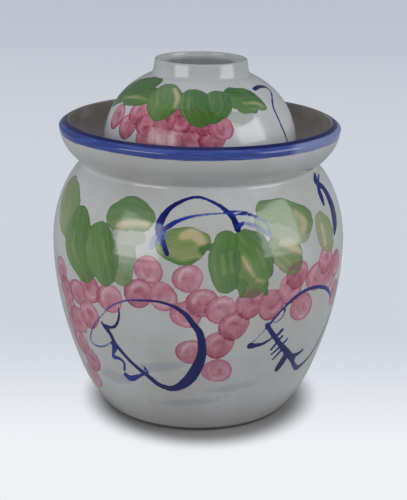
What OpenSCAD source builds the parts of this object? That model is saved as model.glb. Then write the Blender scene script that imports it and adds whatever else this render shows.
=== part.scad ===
// Water seal pickle jar in thrown stoneware.
// The mouth collar stands inside a flared moat. The lid is a footed bowl, set upside down in the
// moat, so that the water round its lip lets gas out and no air in.
// +Z is up, and the origin is the centre of the face that the foot rests on. Sizes are in millimetres.

/* [Overall] */
// Height from the table to the top of the lid's grip ring
total_h = 263.5; // [258:0.5:268]
// Height from the table to the crest of the moat's rim
jar_h = 219; // [216:0.5:222]

/* [Body] */
// Diameter of the foot where it runs into the heel
foot_d = 147.3; // [144:0.1:150]
// Height of the bare foot ring
foot_h = 3.5; // [3:0.1:3.9]
// Diameter at the top of the rounded heel
heel_d = 183.4; // [180:0.1:187]
// Height of the top of the heel
heel_h = 35.5; // [32:0.5:40]
// Widest diameter of the belly
belly_d = 219.5; // [214:0.5:224]
// Height of the widest part of the belly
belly_h = 128; // [120:0.5:134]
// Thickness of the wall
wall = 7; // [6:0.1:8]
// Thickness of the floor
floor_t = 9; // [7:0.1:11]

/* [Moat] */
// Outer diameter of the rim
rim_d = 208; // [204:0.1:210]
// Inner diameter of the rim
rim_bore_d = 193; // [190:0.1:195]
// Height of the band that makes the rim
rim_h = 8; // [7:0.1:9]
// Diameter of the crease where the moat's wall stands on the shoulder
crease_d = 173; // [171:0.1:175]
// Depth of the moat below the rim
moat_depth = 22; // [20:0.5:24]
// Height of the crease below the moat's floor
crease_drop = 9; // [8:0.5:10]

/* [Mouth] */
// Inner diameter of the mouth
mouth_d = 100; // [98:0.5:102]
// Thickness of the collar
collar_t = 6; // [5.5:0.1:6.5]
// Height of the collar above the rim
collar_rise = 4; // [2:0.5:5]

/* [Lid] */
// Diameter of the lid's lip
lid_d = 143.5; // [140:0.1:145]
// Thickness of the lid
lid_t = 5; // [4.5:0.1:5.5]
// Outer diameter of the grip ring
grip_d = 69; // [67:0.1:71]
// Height of the grip ring
grip_h = 11.5; // [9:0.5:13]
// Thickness of the grip ring at its root
grip_t = 5.4; // [5:0.1:6]
// Depth of the shallow dish inside the grip ring
dish_depth = 3; // [2.5:0.1:4]

/* [Hidden] */

$fn = 180;
curve_steps = 14;
round_steps = 8;

glaze = "#d8d7d0";
cobalt = "#2f4a96";
bare_clay = "#b9a58c";

foot_r = foot_d / 2;
foot_face_r = foot_r - 3.6;         // outer radius of the face that the foot rests on
foot_face_w = 10;
floor_z = foot_h + floor_t;
crease_r = crease_d / 2;
moat_floor_z = jar_h - moat_depth;
crease_z = moat_floor_z - crease_drop;
crease_low = [crease_r + 2.4, crease_z - 2.2];
crease_seam = [crease_r + 1.4, crease_z];
crease_high = [crease_r + 2.6, crease_z + 1.9];
seat_r = crease_r - wall;           // inner radius of the ledge under the moat's wall
rim_r = rim_d / 2;
rim_bore_r = rim_bore_d / 2;
rim_seam_z = jar_h - rim_h;
rim_seam_out = rim_r - 0.7;
rim_seam_in = rim_bore_r - 0.8;
mouth_r = mouth_d / 2;
collar_r = mouth_r + collar_t;
collar_top_z = jar_h + collar_rise;
cove = 3;                           // radius of the cove at the collar's root
throat = 6;                         // radius that rounds the shoulder into the mouth
lid_r = lid_d / 2;
lip_rise = 3;                       // height over which the lid's lip is rounded
lip_land = [lid_r - 3.4, lid_r - 1.3];
grip_root_z = total_h - grip_h;
grip_root_r = grip_d / 2 + 2.4;
grip_bore_r = grip_d / 2 - grip_t;
dish_z = total_h - dish_depth;      // edge of the dish, inside the grip ring
crown_z = dish_z + 0.6;             // middle of the dish

// Curves are lists of [radius, height] points.

// A point on a cubic Bezier curve with the control points p.
function bezier(p, t) =
    pow(1 - t, 3) * p[0] + 3 * t * pow(1 - t, 2) * p[1] + 3 * t * t * (1 - t) * p[2] + pow(t, 3) * p[3];

// The curve's points from first to the last, which is its end. A first of 1 joins it to another.
function curve(p, first = 0, n = curve_steps) = [for (i = [first:n]) bezier(p, i / n)];

// An arc of radius r round c, from angle a to angle b.
function arc(c, r, a, b, n = round_steps) =
    [for (i = [0:n]) let (t = a + (b - a) * i / n) c + r * [cos(t), sin(t)]];

// A list in the opposite order.
function turned(list) = [for (i = [len(list) - 1:-1:0]) list[i]];

// The unit normal at point i, to the left of the way that the points run.
function left_of(pts, i) =
    let (run = pts[min(i + 1, len(pts) - 1)] - pts[max(i - 1, 0)]) [-run[1], run[0]] / norm(run);

// The line moved to its left by d.
function beside(pts, d) = [for (i = [0:len(pts) - 1]) pts[i] + d * left_of(pts, i)];

// The rounded heel, from the foot up to where the belly starts.
heel = curve([
    [foot_r, foot_h], [foot_r + 7.3, foot_h + 8.5], [heel_d / 2 - 4.6, heel_h - 13], [heel_d / 2, heel_h]
]);

// The belly, from the heel to its widest, and the shoulder, from there in to the crease.
belly = curve([
    [heel_d / 2, heel_h], [heel_d / 2 + 7.4, heel_h + 21], [belly_d / 2, belly_h - 42], [belly_d / 2, belly_h]
]);
shoulder = curve([
    [belly_d / 2, belly_h], [belly_d / 2, belly_h + 27], [crease_r + 12, crease_z - 11], crease_low
], 1);

// The soft fillet in the crease: its lower half on the body, its upper half on the moat's wall.
fillet_low = curve([
    crease_low, crease_low + [-0.8, 0.75], crease_seam - [0, 0.9], crease_seam
], 1, round_steps);
fillet_high = curve([
    crease_seam, crease_seam + [0, 0.8], crease_high - [0.7, 0.55], crease_high
], 0, round_steps);

// The inside runs beside the outside, then across under the shoulder and round into the mouth.
inner_wall = beside(concat(belly, shoulder), wall);
inner_cove = curve([
    [foot_face_r - 12, floor_z], [foot_r + 2, floor_z],
    inner_wall[0] - [4.2, 13], inner_wall[0]
]);
ceiling_z = moat_floor_z - throat;
inner_end = inner_wall[len(inner_wall) - 1];
inner_ceiling = curve([
    inner_end, inner_end + [-5, 4.6], [mouth_r + throat + 13, ceiling_z], [mouth_r + throat, ceiling_z]
], 1);

// The moat's wall, on its outside and its inside, from the shoulder to the rolled rim.
moat_out = curve([
    crease_high, [crease_r + 9.5, crease_z + 7], [rim_seam_out - 1, rim_seam_z - 8],
    [rim_seam_out, rim_seam_z]
], 1);
moat_in = curve([
    [seat_r, moat_floor_z], [seat_r + 7, moat_floor_z], [rim_seam_in - 2.6, rim_seam_z - 8],
    [rim_seam_in, rim_seam_z]
]);

// The lid's dome, from above the rounded lip up to the root of the grip ring, and the face under it.
dome = curve([
    [lid_r, moat_floor_z + lip_rise], [lid_r - 0.3, moat_floor_z + 30], [lid_r - 15.5, grip_root_z - 8],
    [grip_root_r, grip_root_z]
]);
dome_in = beside(dome, lid_t);
dome_in_end = dome_in[len(dome_in) - 1];

// The thrown body: floor, heel, belly and shoulder, with the ledge that carries the moat's wall.
module jar_body() {
    color(glaze)
        rotate_extrude()
            polygon(concat(
                [[0, foot_h]],
                heel, belly, shoulder, fillet_low,
                [[seat_r, crease_z], [seat_r, moat_floor_z]],
                arc([mouth_r + throat, moat_floor_z], throat, 180, 270),
                turned(inner_ceiling), turned(inner_wall), turned(inner_cove),
                [[0, floor_z]]
            ));
}

// The turned foot, left bare where it met the kiln shelf.
module foot_ring() {
    color(bare_clay)
        rotate_extrude()
            polygon(concat(
                curve([
                    [foot_face_r, 0], [foot_face_r + 1.6, 0], [foot_r - 1.2, foot_h - 1.6], [foot_r, foot_h]
                ], 0, round_steps),
                [[foot_face_r - foot_face_w - 1.2, foot_h], [foot_face_r - foot_face_w - 0.8, 0.9]],
                [[foot_face_r - foot_face_w, 0]]
            ));
}

// The flared wall of the moat, luted on to the shoulder's ledge.
module moat_wall() {
    color(glaze)
        rotate_extrude()
            polygon(concat([[seat_r, crease_z]], fillet_high, moat_out, turned(moat_in)));
}

// The rim, which has the cobalt band. It's rounded outwards from a crest near its inner edge.
module moat_rim() {
    crest_r = 1.3;
    crest_x = rim_bore_r + crest_r;
    swell_z = rim_seam_z + 3.4;
    color(cobalt)
        rotate_extrude()
            polygon(concat(
                [[rim_seam_in, rim_seam_z]],
                curve([
                    [rim_seam_out, rim_seam_z], [rim_r - 0.3, rim_seam_z + 1.1],
                    [rim_r, swell_z - 1.2], [rim_r, swell_z]
                ], 0, round_steps),
                curve([
                    [rim_r, swell_z], [rim_r, jar_h - 1.8], [crest_x + 2.6, jar_h], [crest_x, jar_h]
                ], 1, round_steps),
                arc([crest_x, jar_h - crest_r], crest_r, 90, 180)
            ));
}

// The collar round the mouth, which keeps the moat's water out of the jar.
module mouth_collar() {
    bead_r = collar_t / 2;
    color(glaze)
        rotate_extrude()
            polygon(concat(
                [[mouth_r, moat_floor_z]],
                turned(arc([collar_r + cove, moat_floor_z + cove], cove, 180, 270)),
                arc([mouth_r + bead_r, collar_top_z - bead_r], bead_r, 0, 180, 2 * round_steps)
            ));
}

// The lid's bowl, mouth down: its lip stands on the moat's floor.
module lid_bowl() {
    hollow_z = crown_z - lid_t - 2.5;
    color(glaze)
        rotate_extrude()
            polygon(concat(
                curve([
                    [lip_land[1], moat_floor_z], [lid_r - 0.5, moat_floor_z], [lid_r, moat_floor_z + 1.2],
                    dome[0]
                ], 0, round_steps),
                dome,
                [[grip_bore_r, grip_root_z]],
                curve([
                    [grip_bore_r, dish_z], [grip_bore_r - 9, crown_z], [9, crown_z], [0, crown_z]
                ], 0, round_steps),
                curve([[0, hollow_z], [15, hollow_z], dome_in_end + [-8, 1.4], dome_in_end]),
                turned(dome_in),
                [[lip_land[0], moat_floor_z]]
            ));
}

// The lid's turned foot, which is its grip when the bowl is upside down.
module lid_grip_ring() {
    crest_r = 1.5;
    crest_x = grip_d / 2 - 0.4 - crest_r;
    crest_z = total_h - crest_r;
    color(glaze)
        rotate_extrude()
            polygon(concat(
                curve([
                    [grip_root_r, grip_root_z], [grip_d / 2 + 0.4, grip_root_z + 1.8],
                    [grip_d / 2 + 0.3, grip_root_z + 4.5], [grip_d / 2 - 0.4, crest_z]
                ], 0, round_steps),
                arc([crest_x, crest_z], crest_r, 0, 180, 2 * round_steps),
                curve([
                    [crest_x - crest_r, crest_z], [crest_x - crest_r, crest_z - 0.9],
                    [grip_bore_r + 1, dish_z], [grip_bore_r, dish_z]
                ], 1, round_steps),
                [[grip_bore_r, grip_root_z]]
            ));
}

jar_body();
foot_ring();
moat_wall();
moat_rim();
mouth_collar();
lid_bowl();
lid_grip_ring();
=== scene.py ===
# %% [markdown]
# A water seal pickle jar. The real one is two fired pieces of stoneware: a thrown jar with a moat luted round
# its mouth, and a bowl that stands upside down in the moat as the lid. Both were painted freehand with
# leaves, grapes and cobalt strokes, then dipped in a clear grey-white glaze. The imported model holds the
# sizes, so it is loaded first, and the main heights and radii below are read from it.

# %% Load the imported model
import math
import random

import bmesh
import bpy
import numpy as np
from mathutils import Matrix, Vector


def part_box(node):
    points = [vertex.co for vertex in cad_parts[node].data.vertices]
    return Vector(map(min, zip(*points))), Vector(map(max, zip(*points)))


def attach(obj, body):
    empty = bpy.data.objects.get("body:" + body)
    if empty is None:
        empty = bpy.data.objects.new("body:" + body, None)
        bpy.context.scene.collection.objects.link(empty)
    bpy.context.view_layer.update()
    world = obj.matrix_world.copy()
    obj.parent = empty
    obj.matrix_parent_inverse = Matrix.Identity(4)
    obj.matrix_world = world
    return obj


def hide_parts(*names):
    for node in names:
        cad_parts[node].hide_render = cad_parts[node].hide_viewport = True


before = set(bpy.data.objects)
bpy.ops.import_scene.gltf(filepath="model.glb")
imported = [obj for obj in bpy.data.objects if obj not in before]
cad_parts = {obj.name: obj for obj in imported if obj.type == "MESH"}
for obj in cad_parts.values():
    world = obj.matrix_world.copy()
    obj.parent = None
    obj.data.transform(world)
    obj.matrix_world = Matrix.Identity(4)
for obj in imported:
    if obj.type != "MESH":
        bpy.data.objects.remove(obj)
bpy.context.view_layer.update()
MM = 0.001


def reach(node):
    """A node's lowest and highest z and its largest radius, in millimetres."""
    low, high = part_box(node)
    return low.z / MM, high.z / MM, max(high.x, high.y, -low.x, -low.y) / MM


foot_z, floor_z, belly_r = reach("jar_body")
seam_z, crest_z, rim_r = reach("moat_rim")
lip_z, root_top_z, lid_r = reach("lid_bowl")
root_z, top_z, root_r = reach("lid_grip_ring")
print("moat floor", round(floor_z, 1), "crest", round(crest_z, 1), "top", round(top_z, 1), "mm")

# %% [markdown]
# The camera comes first, because the brush strokes are placed through it. A camera is a position, three
# turns and a focal length. These were fitted to the jar's outline: the ellipse of the rim, the lid's
# grip and the foot together fix how far away and how high the lens was. Blender's own camera helpers
# would work too, but a matrix written from three directions can also be used to look back along a pixel.

# %% Camera
IMAGE_W = 407
IMAGE_H = 500
SENSOR_MM = 36
FOCAL_PX = 1237
EYE = Vector((0, -0.900, 0.400))
PITCH = math.radians(17.46)
PAN = math.radians(0.26)
ROLL = math.radians(1.00)

forward = Vector((
    math.sin(PAN) * math.cos(PITCH), math.cos(PAN) * math.cos(PITCH), -math.sin(PITCH)
))
level = Vector((math.cos(PAN), -math.sin(PAN), 0))
upward = level.cross(forward)
right = level * math.cos(ROLL) + upward * math.sin(ROLL)
up = upward * math.cos(ROLL) - level * math.sin(ROLL)

camera = bpy.data.objects.new("camera", bpy.data.cameras.new("camera"))
camera.data.sensor_width = SENSOR_MM
camera.data.lens = FOCAL_PX / IMAGE_H * SENSOR_MM
camera.matrix_world = Matrix((
    (right.x, up.x, -forward.x, EYE.x),
    (right.y, up.y, -forward.y, EYE.y),
    (right.z, up.z, -forward.z, EYE.z),
    (0, 0, 0, 1),
))
bpy.context.scene.collection.objects.link(camera)
bpy.context.scene.camera = camera
print("lens", round(camera.data.lens, 1), "mm")

# %% Look along a pixel


def sight(x, y):
    """The direction from the eye through a pixel of the photograph."""
    across = (x - IMAGE_W / 2) / FOCAL_PX
    above = (IMAGE_H / 2 - y) / FOCAL_PX
    return (forward + right * across + up * above).normalized()


print("the middle of the picture looks along", [round(v, 3) for v in sight(IMAGE_W / 2, IMAGE_H / 2)])

# %% [markdown]
# A thrown pot is a curve turned about the wheel's axis. Each curve here is a few Bezier pieces through
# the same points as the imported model, in millimetres, cut into even steps so that the mesh is fine where
# paint has to sit on it and coarse where it doesn't.

# %% Helpers for profile curves


def bezier(a, b, c, d, steps=200):
    """A cubic Bezier curve as an array of (radius, height) points."""
    t = np.linspace(0, 1, steps)[:, None]
    a, b, c, d = (np.array(p, float) for p in (a, b, c, d))
    return a * (1 - t) ** 3 + 3 * b * t * (1 - t) ** 2 + 3 * c * t * t * (1 - t) + d * t ** 3


def arc(centre, radius, start, end, steps=60):
    """An arc about a centre, with its angles in degrees."""
    t = np.radians(np.linspace(start, end, steps))
    return np.array(centre) + radius * np.stack([np.cos(t), np.sin(t)], 1)


def even(points, step):
    """The same line with its points a step apart, ends kept."""
    points = np.array(points, float)
    run = np.concatenate([[0], np.cumsum(np.linalg.norm(np.diff(points, axis=0), axis=1))])
    marks = np.linspace(0, run[-1], max(2, round(run[-1] / step) + 1))
    return np.stack([np.interp(marks, run, points[:, i]) for i in (0, 1)], 1)


def chain(*lines):
    """Lines joined end to end, with doubled points dropped."""
    points = np.concatenate(lines)
    gap = np.linalg.norm(np.diff(points, axis=0), axis=1)
    return points[np.concatenate([[True], gap > 0.02])]


def beside(points, distance):
    """The line moved to its left."""
    run = np.gradient(points, axis=0)
    run /= np.linalg.norm(run, axis=1)[:, None]
    return points + distance * np.stack([-run[:, 1], run[:, 0]], 1)


print("a quarter circle of 10 mm in steps of 2 mm has", len(even(arc((0, 0), 10, 0, 90), 2)), "points")

# %% [markdown]
# The outside of the jar has three parts. The heel swells from the foot, the belly carries it up to the
# widest point, and the shoulder draws in to a tight crease, where a fillet turns up into the moat. Two
# Beziers that share a tangent join without a bump, so each handle stands in line with its neighbour's.

# %% Outside of the jar
FOOT_R = 73.65
HEEL = (91.7, 35.5)
BELLY_Z = 128
CREASE = (86.5, floor_z - 9)
CREASE_LOW = (CREASE[0] + 2.4, CREASE[1] - 2.2)
CREASE_SEAM = (CREASE[0] + 1.4, CREASE[1])
CREASE_HIGH = (CREASE[0] + 2.6, CREASE[1] + 1.9)

heel = bezier((FOOT_R, foot_z), (FOOT_R + 7.3, foot_z + 8.5), (HEEL[0] - 4.6, HEEL[1] - 13), HEEL)
belly = bezier(HEEL, (HEEL[0] + 7.4, HEEL[1] + 21), (belly_r, BELLY_Z - 42), (belly_r, BELLY_Z))
shoulder = bezier(
    (belly_r, BELLY_Z), (belly_r, BELLY_Z + 27), (CREASE[0] + 12, CREASE[1] - 11), CREASE_LOW
)
fillet_low = bezier(
    CREASE_LOW, (CREASE_LOW[0] - 0.8, CREASE_LOW[1] + 0.75), (CREASE_SEAM[0], CREASE_SEAM[1] - 0.9),
    CREASE_SEAM
)
fillet_high = bezier(
    CREASE_SEAM, (CREASE_SEAM[0], CREASE_SEAM[1] + 0.8), (CREASE_HIGH[0] - 0.7, CREASE_HIGH[1] - 0.55),
    CREASE_HIGH
)
jar_outside = chain(heel, belly, shoulder, fillet_low)
print("outside of the jar", len(jar_outside), "points")

# %% [markdown]
# The inside is the same line moved in by the thickness of the wall. A cove rounds it into the floor, and
# under the moat a ceiling closes in on the throat. The profile is cut finely where paint will sit on it,
# and coarsely where there is only plain glaze, which keeps the mesh light.

# %% Inside of the jar, and its whole profile
WALL = 7
FLOOR_T = 9
FLOOR_R = 58
SEAT_R = CREASE[0] - WALL
MOUTH_R = 50
THROAT = 6
PAINT_STEP = 1.3
PLAIN_STEP = 7

inner_wall = beside(chain(belly, shoulder), WALL)
bottom_in = foot_z + FLOOR_T
cove = bezier(
    (FLOOR_R, bottom_in), (FOOT_R + 2, bottom_in), inner_wall[0] - np.array([4.2, 13]), inner_wall[0]
)
ceiling_z = floor_z - THROAT
ceiling = bezier(
    inner_wall[-1], inner_wall[-1] + np.array([-5, 4.6]),
    (MOUTH_R + THROAT + 13, ceiling_z), (MOUTH_R + THROAT, ceiling_z)
)
body_profile = chain(
    even([(0, foot_z), (FOOT_R, foot_z)], 12),
    even(heel, 4),
    even(chain(belly, shoulder), PAINT_STEP),
    even(fillet_low, 0.5),
    even([CREASE_SEAM, (SEAT_R, CREASE[1])], 3.5),
    even([(SEAT_R, CREASE[1]), (SEAT_R, floor_z)], 4.5),
    even([(SEAT_R, floor_z), (MOUTH_R + 1, floor_z)], PLAIN_STEP),
    even(arc((MOUTH_R + THROAT, floor_z), THROAT, 185, 270), 2),
    even(ceiling, PLAIN_STEP),
    even(inner_wall[::-1], 9),
    even(cove[::-1], PLAIN_STEP),
    even([(FLOOR_R, bottom_in), (0, bottom_in)], 12),
)
print("body profile", len(body_profile), "points")

# %% [markdown]
# The moat is one wall that opens like a bowl. A soft fillet joins it to the shoulder, and its rim has a
# tight curve on the inner edge of the crest and a long one on the outside, where the cobalt band lies.
# Its wall and its rim are one piece of clay, so they are turned here as one mesh.

# %% Profile of the moat
RIM_BORE_R = 96.5
RIM_EDGE = 1.3
crest_r = RIM_BORE_R + RIM_EDGE
swell = (rim_r, seam_z + 3.4)
seam_out = (rim_r - 0.7, seam_z)
seam_in = (RIM_BORE_R - 0.8, seam_z)
moat_out = bezier(
    CREASE_HIGH, (CREASE[0] + 9.5, CREASE[1] + 7), (seam_out[0] - 1, seam_z - 8), seam_out
)
moat_in = bezier((SEAT_R, floor_z), (SEAT_R + 7, floor_z), (seam_in[0] - 2.6, seam_z - 8), seam_in)
rim_under = bezier(seam_out, (rim_r - 0.3, seam_z + 1.1), (rim_r, swell[1] - 1.2), swell)
rim_edge = arc((crest_r, crest_z - RIM_EDGE), RIM_EDGE, 62, 180)
rim_over = bezier(swell, (rim_r, crest_z - 2.4), (crest_r + 2.1, crest_z - 0.9), rim_edge[0])
moat_profile = chain(
    even([(SEAT_R, CREASE[1]), CREASE_SEAM], 3.5),
    even(fillet_high, 0.5),
    even(moat_out, 1.4),
    even(chain(rim_under, rim_over), 0.7),
    even(rim_edge, 0.4),
    even(moat_in[::-1], 1.6),
    even([(SEAT_R, floor_z), (SEAT_R, CREASE[1])], 4.5),
)

print("moat profile", len(moat_profile), "points")

# %% [markdown]
# The lid is a rice bowl: a dome with a rounded lip, and a turned foot ring round a shallow dish, which
# becomes the grip when the bowl is upside down. The dome runs from the lip to the root of the grip, and
# its inside is the same line moved in, as for the jar.

# %% Profile of the lid's bowl
LID_WALL = 5
GRIP_BORE_R = 29.1
DISH_DEPTH = 3
LIP_RISE = 3
LIP_OUT = 1.3
LIP_IN = 3.4
dish_z = top_z - DISH_DEPTH
dome = bezier(
    (lid_r, lip_z + LIP_RISE), (lid_r - 0.3, lip_z + 30), (lid_r - 15.5, root_z - 8), (root_r, root_z)
)
dome_in = beside(dome, LID_WALL)
lip = bezier((lid_r - LIP_OUT, lip_z), (lid_r - 0.5, lip_z), (lid_r, lip_z + 1.2), dome[0])
crown = bezier((GRIP_BORE_R, dish_z), (GRIP_BORE_R - 9, root_top_z), (9, root_top_z), (0, root_top_z))
hollow_z = root_top_z - LID_WALL - 2.5
hollow = bezier((0, hollow_z), (15, hollow_z), dome_in[-1] + np.array([-8, 1.4]), dome_in[-1])
lid_profile = chain(
    even(crown[::-1], 2),
    even([(GRIP_BORE_R, dish_z), (GRIP_BORE_R, root_z)], 2.5),
    even([(GRIP_BORE_R, root_z), (root_r, root_z)], 2.5),
    even(dome[::-1], 1.15),
    even(lip[::-1], 1),
    even([(lid_r - LIP_OUT, lip_z), (lid_r - LIP_IN, lip_z)], 1),
    even([(lid_r - LIP_IN, lip_z), dome_in[0]], 1.5),
    even(dome_in, 4),
    even(hollow[::-1], 5),
)

print("lid profile", len(lid_profile), "points")

# %% Profile of the grip
GRIP_R = 34.5
GRIP_EDGE = 1.5
edge_z = top_z - GRIP_EDGE
edge_r = GRIP_R - 0.4 - GRIP_EDGE
grip_side = bezier(
    (root_r, root_z), (GRIP_R + 0.4, root_z + 1.8), (GRIP_R + 0.3, root_z + 4.5), (GRIP_R - 0.4, edge_z)
)
dish_wall = bezier(
    (edge_r - GRIP_EDGE, edge_z), (edge_r - GRIP_EDGE, edge_z - 0.9), (GRIP_BORE_R + 1, dish_z),
    (GRIP_BORE_R, dish_z)
)
grip_profile = chain(
    even(grip_side, 0.8),
    even(arc((edge_r, edge_z), GRIP_EDGE, 0, 180), 0.4),
    even(dish_wall, 0.5),
    even([(GRIP_BORE_R, dish_z), (GRIP_BORE_R, root_z)], 2.5),
    even([(GRIP_BORE_R, root_z), (root_r, root_z)], 2.5),
)
print("grip profile", len(grip_profile), "points")

# %% [markdown]
# The wheel leaves faint rings and the hand a slight unevenness, which the eye reads as a real pot. They
# could be a displacement in the material, but then the outline would stay perfect. So every turned piece
# is passed through the same small shift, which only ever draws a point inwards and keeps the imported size.

# %% The hand of the potter
UNEVEN_MM = 0.35
KEPT_IN_MM = 0.08
RING_MM = 0.07
RING_PITCH_MM = 7.5
STEADY_MM = 12


def thrown(co):
    """The small unevenness of hand-thrown clay at points in metres, the same wherever pieces meet."""
    angle = np.arctan2(co[:, 1], co[:, 0])
    z = co[:, 2] / MM
    sway = 0.5 + 0.25 * np.sin(2 * angle + 0.8 + z / 90) + 0.25 * np.sin(3 * angle - 1.1 - z / 55)
    rings = 0.5 + 0.5 * np.sin(2 * np.pi * z / RING_PITCH_MM + angle)
    steady = np.clip((z - foot_z) / STEADY_MM, 0, 1)
    shift = (KEPT_IN_MM + UNEVEN_MM * sway + RING_MM * rings) * steady * MM
    radius = np.maximum(np.hypot(co[:, 0], co[:, 1]), 1e-9)
    scale = 1 - shift / np.maximum(radius, 20 * MM)
    return co * np.stack([scale, scale, np.ones_like(scale)], 1)


print("clay moves inwards by at most", round(KEPT_IN_MM + UNEVEN_MM + RING_MM, 2), "mm")

# %% [markdown]
# Turning a curve into a pot is what the spin operator is for. Screw or a revolved curve object would do
# it too, but spin leaves an ordinary mesh, whose rows and columns are as even as the profile. One spin of
# 500 steps is slow, so a slice is spun first, then repeated round the axis, and the seams are welded.

# %% Spin a profile
SLICES = 20
WELD_M = 2e-6
SHARP_DEG = 40


def turn(name, profile, segments, closed):
    """A piece turned from a profile in millimetres. A closed profile is a ring, an open one a vessel."""
    bm = bmesh.new()
    verts = [bm.verts.new((r * MM, 0, z * MM)) for r, z in profile]
    edges = [bm.edges.new(pair) for pair in zip(verts, verts[1:])]
    if closed:
        edges.append(bm.edges.new((verts[-1], verts[0])))
    slice_angle = 2 * math.pi / SLICES
    bmesh.ops.spin(
        bm, geom=verts + edges, cent=(0, 0, 0), axis=(0, 0, 1), angle=slice_angle,
        steps=segments // SLICES, use_merge=False, use_duplicate=False
    )
    bmesh.ops.spin(
        bm, geom=bm.verts[:] + bm.edges[:] + bm.faces[:], cent=(0, 0, 0), axis=(0, 0, 1),
        angle=2 * math.pi - slice_angle, steps=SLICES - 1, use_merge=False, use_duplicate=True
    )
    bmesh.ops.remove_doubles(bm, verts=bm.verts, dist=WELD_M)
    bmesh.ops.recalc_face_normals(bm, faces=bm.faces)
    for face in bm.faces:
        face.smooth = True
    for edge in bm.edges:
        edge.smooth = len(edge.link_faces) == 2 and edge.calc_face_angle(0) < math.radians(SHARP_DEG)
    mesh = bpy.data.meshes.new(name)
    bm.to_mesh(mesh)
    bm.free()
    co = np.zeros(len(mesh.vertices) * 3)
    mesh.vertices.foreach_get("co", co)
    mesh.vertices.foreach_set("co", thrown(co.reshape(-1, 3)).ravel())
    piece = bpy.data.objects.new(name, mesh)
    bpy.context.scene.collection.objects.link(piece)
    print(name, len(mesh.polygons), "faces")
    return piece


# %% Turn the four pieces
body = turn("thrown_body", body_profile, 500, closed=False)
moat = turn("moat_with_rolled_rim", moat_profile, 300, closed=True)
lid = turn("lid_bowl_painted", lid_profile, 380, closed=False)
grip = turn("lid_grip_turned", grip_profile, 240, closed=True)

# %% [markdown]
# The decoration is a common folk pattern: leaves and grapes dabbed on with a loaded brush, and cobalt
# tendrils pulled round them. Brush marks sit under the glaze, so they are colour and not relief. They
# could be an image, but here each mark is a stroke: a path on the pot with a width along it. Every vertex
# keeps how far it is inside the nearest stroke, in millimetres. The materials cut that distance at zero,
# which gives edges sharper than the mesh, as fonts on a screen are drawn.

# %% Find where a pixel of the photograph lies on a turned surface
MARCH = np.arange(0.60, 1.10, 0.0004)


def on_surface(x, y, outline):
    """The angle in degrees and the height in millimetres of the surface seen at a pixel."""
    points = np.array(EYE) + MARCH[:, None] * np.array(sight(x, y))
    z = points[:, 2] / MM
    clear = np.hypot(points[:, 0], points[:, 1]) / MM - np.interp(z, outline[:, 1], outline[:, 0])
    clear[(z < outline[0, 1]) | (z > outline[-1, 1])] = 1000
    hits = np.nonzero(clear <= 0)[0]
    at = points[hits[0] if len(hits) else int(np.argmin(clear))]
    return math.degrees(math.atan2(at[1], at[0])), float(at[2] / MM)


def place(angle, height, outline):
    """The point in metres at an angle in degrees and a height in millimetres on a turned surface."""
    radius = np.interp(height, outline[:, 1], outline[:, 0])
    turn_by = np.radians(angle)
    return np.stack([radius * np.cos(turn_by), radius * np.sin(turn_by), np.asarray(height)], -1) * MM


middle = on_surface(IMAGE_W / 2, IMAGE_H / 2, jar_outside)
print("the middle of the picture lies", round(middle[1]), "mm up the jar, at", round(middle[0]), "degrees")

# %% [markdown]
# A canvas is the memory of what has been painted on a piece: one list of numbers for each quality of a
# mark, such as how deep a vertex lies inside a leaf or how loaded the brush was there. Numpy arrays hold
# them while the marks are laid, because thousands of vertices are changed at once.

# %% A canvas for each painted piece
FAR = -30.0
PAINT_REACH_MM = 1.5
FIELDS = {
    "leaf": FAR, "leaf_depth": 0.0, "leaf_tone": 0.0, "leaf_along": 0.0, "leaf_across": 0.0,
    "leaf_load": 1.0, "leaf_pink": 0.0,
    "grape": FAR, "grape_depth": 0.0, "grape_tone": 0.5,
    "cobalt": FAR, "cobalt_load": 1.0, "cobalt_along": 0.0, "cobalt_across": 0.0,
    "wash": FAR, "wash_load": 0.0,
}


def canvas(piece, outline):
    """The vertices of a piece, with one value of each field for each vertex."""
    co = np.zeros(len(piece.data.vertices) * 3)
    piece.data.vertices.foreach_get("co", co)
    co = co.reshape(-1, 3)
    radius = np.hypot(co[:, 0], co[:, 1]) / MM
    skin = np.interp(co[:, 2] / MM, outline[:, 1], outline[:, 0]) - PAINT_REACH_MM
    outside = np.nonzero(radius > skin)[0]
    fields = {name: np.full(len(co), value) for name, value in FIELDS.items()}
    return {"piece": piece, "outline": outline, "co": co, "outside": outside, "fields": fields}


# %% A brush path on the pot
SPAN_STEPS = 24


def smooth_path(places, widths, spacing_mm, outline):
    """A curve through places on the pot, as points in metres with a radius in millimetres each."""
    places = np.array(places, float)
    places[:, 0] = np.degrees(np.unwrap(np.radians(places[:, 0])))
    widths = np.interp(np.linspace(0, 1, len(places)), np.linspace(0, 1, len(widths)), widths)
    knots = np.column_stack([places, widths])
    knots = np.vstack([2 * knots[0] - knots[1], knots, 2 * knots[-1] - knots[-2]])
    t = np.linspace(0, 1, SPAN_STEPS, endpoint=False)[:, None]
    spans = []
    for a, b, c, d in zip(knots, knots[1:], knots[2:], knots[3:]):
        spans.append(0.5 * (
            2 * b + (c - a) * t + (2 * a - 5 * b + 4 * c - d) * t ** 2 + (3 * b - a - 3 * c + d) * t ** 3
        ))
    line = np.vstack(spans + [knots[-2:-1]])
    points = place(line[:, 0], line[:, 1], outline)
    run = np.concatenate([[0], np.cumsum(np.linalg.norm(np.diff(points, axis=0), axis=1))]) / MM
    marks = np.linspace(0, run[-1], max(3, round(run[-1] / spacing_mm)))
    points = np.stack([np.interp(marks, run, points[:, i]) for i in range(3)], 1)
    return points, np.interp(marks, run, line[:, 2]), marks


# %% What a brush touches
STRETCH = 24


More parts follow.
